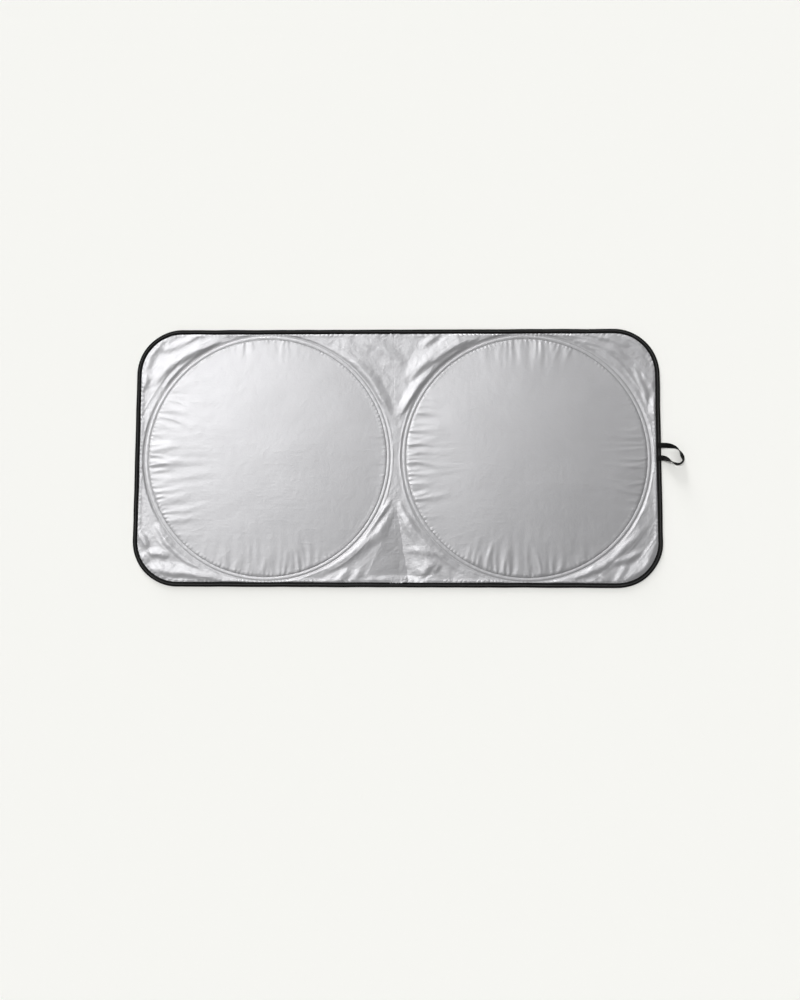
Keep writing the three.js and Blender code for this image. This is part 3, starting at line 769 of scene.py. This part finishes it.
# %% Stitch helper
def stitch_row(name, rows, length, radius):
    """rows is a list of (places, directions, up), where up is 1 on the face and -1 on the back."""
    pattern = bmesh.new()
    bmesh.ops.create_uvsphere(pattern, u_segments=6, v_segments=4, radius=1)
    on_its_side = Matrix.Rotation(math.pi / 2, 3, "Y")
    bmesh.ops.rotate(pattern, verts=pattern.verts, cent=(0, 0, 0), matrix=on_its_side)
    x, y, z = (np.array([vert.co[:] for vert in pattern.verts]) * (length / 2, radius, radius)).T
    z = z - radius * 1.2 * (x / (length / 2)) ** 2
    one = bpy.data.meshes.new("one_stitch")
    pattern.to_mesh(one)
    pattern.free()
    seam, places = bmesh.new(), []
    for points, directions, up in rows:
        for (px, py, pz), turn in zip(points.T, directions):
            cos, sin = math.cos(turn), math.sin(turn)
            seam.from_mesh(one)
            turned_x, turned_y = x * cos - y * up * sin, x * sin + y * up * cos
            places.append(np.stack([px + turned_x, py + turned_y, pz + z * up], 1))
    for vert, co in zip(seam.verts, np.concatenate(places)):
        vert.co = co
    bpy.data.meshes.remove(one)
    print(name, "has", len(places), "stitches")
    return mesh_object(seam, name)


# %% [markdown]
# ## Seams of the casings and of the binding
# On the face the casing's seams lie on the cloth, and the same thread shows on the back. The
# binding's seam runs in the dimples near its inner side. A machine's stitch is about 3 mm
# long, with a small gap where the thread goes down.

# %% Seams
CASING_PITCH, BINDING_PITCH = 3.6 * MM, 3.5 * MM
BINDING_SEAM = 11.8 * MM


def circle_row(side, radius, level, up):
    count = round(2 * math.pi * radius / CASING_PITCH)
    turn = 2 * math.pi * np.arange(count) / count
    x, y = side * HOOP_CENTRE + radius * np.cos(turn), radius * np.sin(turn)
    return np.stack([x, y, np.full(count, level)]), turn + math.pi / 2, up


def casing_rows(level, up):
    circles = [(side, radius) for side in (-1, 1) for radius in (INNER_SEAM, OUTER_SEAM)]
    return [circle_row(side, radius, level, up) for side, radius in circles]


on_cloth = SEAM_LEVEL + CLOTH_THICKNESS + 0.1 * MM
ring_stitches = stitch_row("ring_stitches", casing_rows(on_cloth, 1), 2.9 * MM, 0.26 * MM)
back_stitches = stitch_row("back_stitches", casing_rows(0.08 * MM, -1), 2.9 * MM, 0.2 * MM)

count = round(OUTLINE_LENGTH / BINDING_PITCH)
x, y, turn = outline(np.arange(count) / count)
x, y = x - BINDING_SEAM * np.cos(turn), y - BINDING_SEAM * np.sin(turn)
edge_row = (np.stack([x, y, np.full(count, 1.78 * MM)]), turn + math.pi / 2, 1)
binding_stitches = stitch_row("binding_stitches", [edge_row], 2.7 * MM, 0.24 * MM)

# %% [markdown]
# ## Bar tacks
# A loop that is pulled needs more than one seam. Each end of the strap is held by three
# short rows of stitches across it, through the strap, the binding and the cloth: two close
# together at its end, and one near the edge.

# %% Bar tacks where the loop is sewn down
TACK_STITCHES = 7
tack_rows = []
for middle in (LOOP_MIDDLE_Y + 18, LOOP_MIDDLE_Y - 18):
    for out in (-11.2, -8.4, -3.4):
        x = np.full(TACK_STITCHES, HALF_WIDTH + out * MM)
        y = (middle + np.linspace(-6, 6, TACK_STITCHES)) * MM
        places = np.stack([x, y, np.full(TACK_STITCHES, 4.22 * MM)])
        tack_rows.append((places, np.full(TACK_STITCHES, math.pi / 2), 1))
tacks = stitch_row("loop_tacks", tack_rows, 2.0 * MM, 0.22 * MM)

# %% [markdown]
# ## Shader maths as expressions
# A material is easier to read as a formula than as a list of links. A small class wraps a
# socket, and its operators add Math nodes, so that `1 - mask` builds what it says. Every
# other node comes from one method, which takes plain values and linked ones alike.

# %% Shader helpers
class Value:
    def __init__(self, tree, socket):
        self.tree, self.socket = tree, socket

    def _math(self, operation, *values):
        return self.tree.node("ShaderNodeMath", {"operation": operation}, dict(enumerate(values)))

    def __add__(self, other): return self._math("ADD", self, other)
    def __radd__(self, other): return self._math("ADD", other, self)
    def __sub__(self, other): return self._math("SUBTRACT", self, other)
    def __rsub__(self, other): return self._math("SUBTRACT", other, self)
    def __mul__(self, other): return self._math("MULTIPLY", self, other)
    def __rmul__(self, other): return self._math("MULTIPLY", other, self)
    def __truediv__(self, other): return self._math("DIVIDE", self, other)
    def __rtruediv__(self, other): return self._math("DIVIDE", other, self)
    def sin(self): return self._math("SINE", self)
    def power(self, other): return self._math("POWER", self, other)
    def absolute(self): return self._math("ABSOLUTE", self)
    def at_least(self, other): return self._math("MAXIMUM", self, other)
    def at_most(self, other): return self._math("MINIMUM", self, other)
    def clamp(self): return self.tree.node("ShaderNodeClamp", {}, {0: self})


class Tree:
    """An empty node tree, whose method node() adds any node to it."""

    def __init__(self, node_tree):
        self.nodes, self.links = node_tree.nodes, node_tree.links
        self.nodes.clear()

    def node(self, kind, settings, inputs, output=0):
        """Add a node. An input is a Value, which is linked, or else a plain value."""
        made = self.nodes.new(kind)
        for key, value in settings.items():
            setattr(made, key, value)
        for socket, value in inputs.items():
            if isinstance(value, Value):
                self.links.new(value.socket, made.inputs[socket])
            else:
                made.inputs[socket].default_value = value
        return Value(self, made.outputs[output])


class Finish(Tree):
    """A material with one shader. Settings that don't vary go on the shader's own sockets."""

    def __init__(self, name, **shader):
        self.material = bpy.data.materials.new(name)
        self.material.use_nodes = True
        super().__init__(self.material.node_tree)
        self.output = self.nodes.new("ShaderNodeOutputMaterial")
        self.shader = self.nodes.new("ShaderNodeBsdfPrincipled")
        self.links.new(self.shader.outputs[0], self.output.inputs[0])
        for socket, value in shader.items():
            self.shader.inputs[socket.replace("_", " ")].default_value = value

    def coordinates(self, which="Object", scale=(1, 1, 1)):
        place = self.node("ShaderNodeTexCoord", {}, {}, which)
        return self.node("ShaderNodeVectorMath", {"operation": "MULTIPLY"}, {0: place, 1: scale})

    def axes(self, vector):
        return [self.node("ShaderNodeSeparateXYZ", {}, {0: vector}, k) for k in range(3)]

    def noise(self, vector, scale, detail=3, roughness=0.5):
        inputs = {"Vector": vector, "Scale": scale, "Detail": detail, "Roughness": roughness}
        return self.node("ShaderNodeTexNoise", {}, inputs)

    def mix(self, share, a, b):
        return self.node("ShaderNodeMix", {"data_type": "RGBA"}, {"Factor": share, 6: a, 7: b}, 2)

    def bump(self, height, distance, strength=1.0, normal=None):
        inputs = {"Height": height, "Distance": distance, "Strength": strength}
        if normal is not None:
            inputs["Normal"] = normal
        return self.node("ShaderNodeBump", {}, inputs)

    def set(self, **sockets):
        for socket, value in sockets.items():
            self.links.new(value.socket, self.shader.inputs[socket.replace("_", " ")])


def grey(level, warm=0.0):
    return (level * (1 + warm), level, level * (1 - warm), 1)


print("a slightly warm grey:", grey(0.25, 0.01))

# %% [markdown]
# ## Silver cloth
# The face is thin woven polyester with a coat of aluminium in a binder. It is neither a
# mirror nor paint: light comes back in a broad, soft lobe, so every slope shows. A finish
# that is mostly metal with a middling roughness does that. What follows adds the forms that
# are too fine for the mesh, each as a height, and joins them at the end.
#
# First come the shader itself, where a point of the cloth is, and two noises that several
# of the heights share.

# %% Silver cloth: shader and places
silver = Finish("silver_coated_cloth", Metallic=0.75, Roughness=0.5, Base_Color=grey(0.6))
place = silver.coordinates()
x, y, _ = silver.axes(place)
off_x = x.absolute() - HOOP_CENTRE
radius = (off_x * off_x + y * y).power(0.5)
turn = silver.node("ShaderNodeMath", {"operation": "ARCTAN2"}, {0: y, 1: off_x})
slack = ((radius - CASING_OUTER) / (6 * MM)).clamp()
broad = silver.noise(place, 7, 4)
fine = silver.noise(place, 60, 5, 0.6)
print(len(silver.nodes), "nodes so far")

# %% [markdown]
# ## Creases, scratches and threads
# Creases that stay from its being coiled up run over the cloth in all directions, in three
# sizes, strongest where it is slack. A crest where a noise crosses its middle value is sharp
# on one line and falls off to both sides, as a crease in a coat does. A few long scratches
# cross the discs, thick threads run along the panel, and a faint press line stays where the
# panel was folded over between its hoops.

# %% Silver cloth: creases
def creases(vector, scale, seed):
    """Sharp crests where a noise crosses its middle value."""
    inputs = {0: vector, 1: scale, 2: (seed, 0, seed)}
    moved = silver.node("ShaderNodeVectorMath", {"operation": "MULTIPLY_ADD"}, inputs)
    return 1 - (silver.noise(moved, 1.0, 1.5, 0.5) - 0.5).absolute() * 5


crumple = creases(place, (34, 26, 1), 3.1) + 0.6 * creases(place, (55, 80, 1), 7.7)
crumple = crumple + 0.35 * creases(place, (150, 120, 1), 1.4)
threads_along = silver.noise(silver.coordinates("Object", (9, 110, 1)), 1.0, 3, 0.6)
in_places = (silver.noise(place, 11, 1) * 3 - 1.2).clamp()
scratch = creases(place, (7, 19, 1), 5.5).clamp().power(5) * in_places
off_press_line = (x + 7 * MM + (broad - 0.5) * 0.012).absolute() / (1.6 * MM)
press_line = (1 - off_press_line.clamp()) * ((y.absolute() - 0.11) / 0.03).clamp()
relief = (slack * 0.13 + 0.085) * crumple + fine * 0.085 + scratch * 0.14
relief = relief + threads_along * 0.11 - press_line * 0.1
print(len(silver.nodes), "nodes with the creases")

# %% [markdown]
# ## Puckers along the seams
# A seam gathers the cloth between one stitch and the next. That is a row of small waves just
# inside the hoop's inner seam, and a coarser one beside the binding, which a band keeps near
# its seam. A noise lets them fail here and there, since no seam is drawn evenly.

# %% Silver cloth: puckers
def puckers(band, count, wobble, patches):
    """A row of small waves, count to each radian round a hoop."""
    waves = (turn * count + wobble * broad).sin().absolute()
    return band * waves * (silver.noise(place, patches, 2) * 3 - 0.9).clamp()


inside = INNER_SEAM - radius
seam_band = (1 - inside / (13 * MM)).clamp() * (inside / (1.5 * MM)).clamp()
corner_x = (x.absolute() - (HALF_WIDTH - CORNER_RADIUS)).at_least(0)
corner_y = (y.absolute() - (HALF_HEIGHT - CORNER_RADIUS)).at_least(0)
from_edge = CORNER_RADIUS - BINDING_WIDTH - (corner_x * corner_x + corner_y * corner_y).power(0.5)
edge_band = (1 - from_edge / (10 * MM)).clamp()
rows_of_puckers = puckers(0.8 * MM * seam_band, 90, 5, 30) + puckers(1 * MM * edge_band, 104, 9, 35)
print(len(silver.nodes), "nodes with the puckers")

# %% [markdown]
# ## Ridge, streaks and the crushed triangle
# The mesh's ridge over the wire would shine more than the real ring does, which is padded by
# its tape, so a counter-height takes part of it back. Outside the casing, streaks run round
# the hoop where the cloth is dragged by it.
#
# Between the hoops at the lower edge, a triangle of cloth is pressed flat. Its two sides and
# its base are crisp lines that run on after the folds beside it, and beyond each of them the
# cloth falls away.

# %% Silver cloth: ridge, streaks and triangle
bent_x = x + (silver.noise(place, 30, 3, 0.6) - 0.5) * 0.012
bent_y = y + (silver.noise(place, 26, 3, 0.6) - 0.5) * 0.012


def past_line(start, end):
    """Distance in metres to the left of a line, and 0 on its right. The ends are in millimetres."""
    along = (Vector(end) - Vector(start)).normalized()
    across = (bent_x - start[0] * MM) * -along.y + (bent_y - start[1] * MM) * along.x
    return across.at_least(0)


into_triangle = past_line((-3, -160), (-82, -338))
out_at_right = past_line((3, -160), (33, -338))
out_at_base = past_line((33, -337), (-82, -337))
triangle = slack * (0.24 * out_at_right + 0.26 * out_at_base - 0.1 * into_triangle).at_most(0)
wire_ridge = 2 * MM / (1 + ((radius - HOOP_RADIUS).absolute() / RIDGE_WIDTH).power(3))
round_the_hoop = silver.node("ShaderNodeCombineXYZ", {}, {0: turn * 1.4, 1: radius * 30})
off_middle = ((x.absolute() - 0.06) / 0.05).clamp()
streaks = 0.9 * MM * slack * off_middle * creases(round_the_hoop, (1, 1, 1), 2.3)
pleats = triangle + streaks + rows_of_puckers - wire_ridge
print(len(silver.nodes), "nodes with the ridge, streaks and triangle")

# %% [markdown]
# ## Colour of the face
# The coat is a little uneven. A thin dark line along the two seams of each casing is painted
# shade, where the cloth dips into the seam. The weave of fine threads under the coat only
# shows close to. The three heights are stacked as bumps, from the broad forms to the threads.

# %% Silver cloth: colour, roughness and bumps
DULL_SILVER, BRIGHT_SILVER = (0.475, 0.473, 0.484, 1), (0.575, 0.573, 0.586, 1)
THREAD_PITCH = 0.5 * MM


def woven(finish, vector):
    """Height of a plain weave, on a vector in metres."""
    across, along, _ = finish.axes(vector)
    turns = math.pi / THREAD_PITCH
    return ((across * turns).sin() * (along * turns).sin()).absolute()


def beside(seam):
    return 1 - ((radius - seam).absolute() / (1.4 * MM)).clamp()


# Painted shade: a thin dark line along each seam of a casing, where the cloth dips into it.
painted_seam_shade = beside(INNER_SEAM) + 0.8 * beside(OUTER_SEAM)
coat = silver.mix((broad * 0.7 + fine * 0.3).clamp(), DULL_SILVER, BRIGHT_SILVER)
formed = silver.bump(relief, 1.2 * MM, 1.0, silver.bump(pleats, 1.0, 1.0))
silver.set(
    Base_Color=silver.mix(painted_seam_shade * (0.2 + 0.6 * fine), coat, grey(0.12)),
    Roughness=0.47 + 0.1 * fine,
    Normal=silver.bump(woven(silver, place), 0.04 * MM, 0.25, formed),
)
print(len(silver.nodes), "nodes in all")

# %% [markdown]
# ## The back of the cloth
# The back has no coat. It is the bare grey polyester, matt, with the weave plain to see and
# a faint fuzz of fibres, which a little sheen gives.

# %% Back of the cloth
grey_back = Finish("uncoated_back", Roughness=0.75, Base_Color=grey(0.3), Sheen_Weight=0.15)
place = grey_back.coordinates()
fine = grey_back.noise(place, 80, 4)
uneven = grey_back.bump(fine, 0.8 * MM, 0.5)
grey_back.set(
    Base_Color=grey_back.mix(fine, grey(0.25, 0.01), grey(0.33, 0.01)),
    Normal=grey_back.bump(woven(grey_back, place), 0.1 * MM, 0.5, uneven),
)
cloth.data.materials.append(silver.material)
cloth.data.materials.append(grey_back.material)
print([material.name for material in cloth.data.materials])

# %% [markdown]
# ## Tapes and webbing
# Both are woven polyester, and differ in weave. The binding is a flat grosgrain, with ribs
# across it. The loop is a heavier webbing with ribs along it. Black cloth still needs light
# and shade in it, so its threads are not quite black, lighter in random worn patches, and
# painted lighter on the tops of the ribs. A grey band along the top of the binding's swelling
# is a painted highlight. The ribs follow each tape through its UV map.

# %% Tapes and webbing
BINDING_HIGHLIGHT_MIDDLE, BINDING_HIGHLIGHT_WIDTH = 10.4 * MM, 2.1 * MM


def tape_finish(name, dark, light, rib_pitches, roughness=0.8, specular=0.5, painted_highlight=0.0):
    tape = Finish(name, Roughness=roughness, Specular_IOR_Level=specular)
    vector = tape.coordinates("UV")
    along, across, _ = tape.axes(vector)
    ribs_across, ribs_along = (math.pi / pitch for pitch in rib_pitches)
    rib = ((along * ribs_across).sin() * (across * ribs_along).sin()).absolute()
    worn = tape.noise(vector, 90, 4)
    # A painted highlight: a lighter grey band along the middle of the binding's top.
    ridge = 1 - ((across - BINDING_HIGHLIGHT_MIDDLE).absolute() / BINDING_HIGHLIGHT_WIDTH).clamp()
    # Lighter on the tops of the ribs, which is painted light, and in random worn patches.
    threads = tape.mix((rib * 0.5 + worn * 0.5).clamp(), dark, light)
    tape.set(
        Base_Color=tape.mix(ridge * painted_highlight * (0.5 + worn), threads, grey(0.06)),
        Roughness=roughness - 0.12 + 0.2 * worn,
        Normal=tape.bump(rib, 0.2 * MM, 0.6, tape.bump(worn, 0.4 * MM, 0.3)),
    )
    return tape.material


tape_black, tape_lit_ribs_and_wear = grey(0.002, 0.05), grey(0.007, 0.04)
webbing_black, webbing_lit_ribs_and_wear = grey(0.002, 0.03), grey(0.009, 0.02)
# pitches of the ribs across the tape and along it
tape_ribs, webbing_ribs = (1.1 * MM, 3.2 * MM), (1.2 * MM, 1.5 * MM)
casing_ribs = (0.8 * MM, 1 * MM)
cloths = {
    binding: tape_finish("binding_tape", tape_black, tape_lit_ribs_and_wear, tape_ribs, 0.65, 0.08, 0.8),
    loop: tape_finish("ribbed_webbing", webbing_black, webbing_lit_ribs_and_wear, webbing_ribs, 0.65, 0.1),
}
casing_cloth = tape_finish("casing_tape", grey(0.28), grey(0.42), casing_ribs)
cloths.update((casing, casing_cloth) for casing in casings.values())
print(len(cloths), "pieces of tape")

# %% [markdown]
# ## Thread and steel
# Sewing thread is twisted from plies, so slanting stripes of light and shade run round it.
# The hoops are drawn spring steel: a dull metal with faint marks from the die. The sleeves
# are softer steel and a little brighter.

# %% Thread and steel
PLY = 0.4 * MM


def thread_finish(name, level):
    thread = Finish(name, Roughness=0.6, Sheen_Weight=0.2)
    x, y, z = thread.axes(thread.coordinates())
    ply = ((x + y + z) * (math.pi / PLY)).sin().absolute()
    # The colour is darker in the grooves between the plies, which is painted shade.
    colour = thread.mix(ply, grey(level * 0.7), grey(level))
    thread.set(Base_Color=colour, Normal=thread.bump(ply, 0.08 * MM, 0.5))
    return thread.material


def steel_finish(name, level, roughness):
    steel = Finish(name, Metallic=1.0, Roughness=roughness)
    drawn = steel.noise(steel.coordinates(), 300, 4)
    steel.set(
        Base_Color=steel.mix(drawn, grey(level * 0.85), grey(level * 1.1)),
        Roughness=roughness - 0.08 + 0.2 * drawn,
        Normal=steel.bump(drawn, 0.05 * MM, 0.4),
    )
    return steel.material


grey_thread, black_thread = thread_finish("grey_thread", 0.42), thread_finish("black_thread", 0.03)
threads = {
    ring_stitches: grey_thread, back_stitches: grey_thread,
    binding_stitches: black_thread, tacks: black_thread,
}
wire_steel = steel_finish("spring_wire_steel", 0.45, 0.32)
sleeve_steel = steel_finish("sleeve_steel", 0.55, 0.38)
steels = {}
for word in ("left", "right"):
    steels[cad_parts[f"{word}_hoop_wire"]] = wire_steel
    steels[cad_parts[f"{word}_hoop_sleeve"]] = sleeve_steel
for piece, material in (cloths | threads | steels).items():
    piece.data.materials.clear()
    piece.data.materials.append(material)
print(len(cloths | threads | steels), "pieces dressed")

# %% [markdown]
# ## The floor
# The shade lies on white paper, which looks slightly warm and nearly even in the picture. So
# a tenth of what the camera or a shiny surface sees of the floor is a plain glow in that
# colour, and the rest is matt paper that takes the object's shadow. The paper lies a little
# under the panel, because most of the real shade's edge doesn't quite touch the ground.

# %% Floor
PAPER, WALL = (0.991, 0.99, 0.953, 1), (0.921, 0.921, 0.888, 1)
FLOOR_LEVEL = -1.8 * MM
floor_mesh = bmesh.new()
bmesh.ops.create_grid(floor_mesh, x_segments=1, y_segments=1, size=12)
floor = mesh_object(floor_mesh, "floor", False)
floor.data.transform(Matrix.Translation((0, 0, FLOOR_LEVEL)))
paper = Finish("floor_paper", Roughness=1.0, Base_Color=PAPER, Specular_IOR_Level=0.0)
glow = paper.node("ShaderNodeEmission", {}, {"Color": WALL, "Strength": 1.0})
from_camera = paper.node("ShaderNodeLightPath", {}, {}, "Is Camera Ray")
from_shine = paper.node("ShaderNodeLightPath", {}, {}, "Is Glossy Ray")
seen = (from_camera + from_shine).clamp()
matt = Value(paper, paper.shader.outputs[0])
paper_and_glow = paper.node("ShaderNodeMixShader", {}, {0: seen * 0.1, 1: matt, 2: glow})
paper.links.new(paper_and_glow.socket, paper.output.inputs[0])
floor.data.materials.append(paper.material)
print("the floor is at", round(FLOOR_LEVEL / MM, 1), "mm")

# %% [markdown]
# ## Lamps
# Two soft sun lamps stand for large windows. The key comes from the upper left, well above
# the floor. The second is stronger but very low: it grazes the cloth from the upper edge, so
# that even shallow gathers have a bright side and a grey side, as they do in the picture.

# %% Lamps
# name, energy, angle it covers in degrees, direction towards it
LAMPS = [
    ("key", 1.28, 16, (-4.2, 3.05, 9.0)),
    ("low key", 3.1, 20, (-0.35, 0.95, 0.165)),
]
for name, energy, angle, towards in LAMPS:
    lamp = bpy.data.objects.new(name, bpy.data.lights.new(name, "SUN"))
    lamp.data.energy = energy
    lamp.data.angle = math.radians(angle)
    lamp.rotation_euler = Vector(towards).to_track_quat("Z", "Y").to_euler()
    bpy.context.collection.objects.link(lamp)
print(len(LAMPS), "lamps")

# %% [markdown]
# ## The room
# Silver cloth mirrors the room softly, so the room decides how its slopes shade. Its walls
# are pale near the floor. Overhead it is greyer, and darkest on the side away from the key.
# The camera doesn't see those walls but a plain pale one, so that the background stays even.

# %% Room
world = bpy.data.worlds.new("studio")
bpy.context.scene.world = world
world.use_nodes = True
room = Tree(world.node_tree)


def ramp(value, start, end, low, high):
    inputs = {"Value": value, "From Min": start, "From Max": end, "To Min": low, "To Max": high}
    return room.node("ShaderNodeMapRange", {}, inputs)


direction = room.node("ShaderNodeTexCoord", {}, {}, "Generated")
up = room.node("ShaderNodeSeparateXYZ", {}, {0: direction}, "Z")
facing = {0: direction, 1: (-0.8, 0.6, 0)}
towards_key = room.node("ShaderNodeVectorMath", {"operation": "DOT_PRODUCT"}, facing, "Value")
near_floor = ramp(up, 0.08, 0.3, 1.0, 0.0)
overhead = ramp(towards_key, -0.7, 0.7, 0.18, 0.62)
brightness = room.node("ShaderNodeMix", {}, {"Factor": near_floor, "A": overhead, "B": 0.92})
lit = room.node("ShaderNodeBackground", {}, {"Color": (1, 1, 1, 1), "Strength": brightness})
seen_wall = room.node("ShaderNodeBackground", {}, {"Color": WALL})
camera_ray = room.node("ShaderNodeLightPath", {}, {}, "Is Camera Ray")
walls = room.node("ShaderNodeMixShader", {}, {0: camera_ray, 1: lit, 2: seen_wall})
output = room.nodes.new("ShaderNodeOutputWorld")
room.links.new(walls.socket, output.inputs["Surface"])
bpy.context.scene.view_settings.view_transform = "Standard"
print(len(room.nodes), "nodes in the room")

# %% [markdown]
# ## Give the pieces to the frame
# Every piece rides on the one body. Where a piece stands for a CAD node, that node is hidden.

# %% Ride and replace
replaced = {
    cloth: ("face_panel", "silver_cloth"),
    binding: ("edge_binding", "binding_tape"),
    loop: ("carry_loop", "webbing"),
    casings["left"]: ("left_casing_tape", "casing_tape"),
    casings["right"]: ("right_casing_tape", "casing_tape"),
}
for piece, (node, slot) in replaced.items():
    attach(piece, "root")
    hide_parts(node)
seams = {
    ring_stitches: "silver_cloth",
    back_stitches: "casing_tape",
    binding_stitches: "binding_tape",
    tacks: "webbing",
}
for piece, slot in seams.items():
    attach(piece, "root")
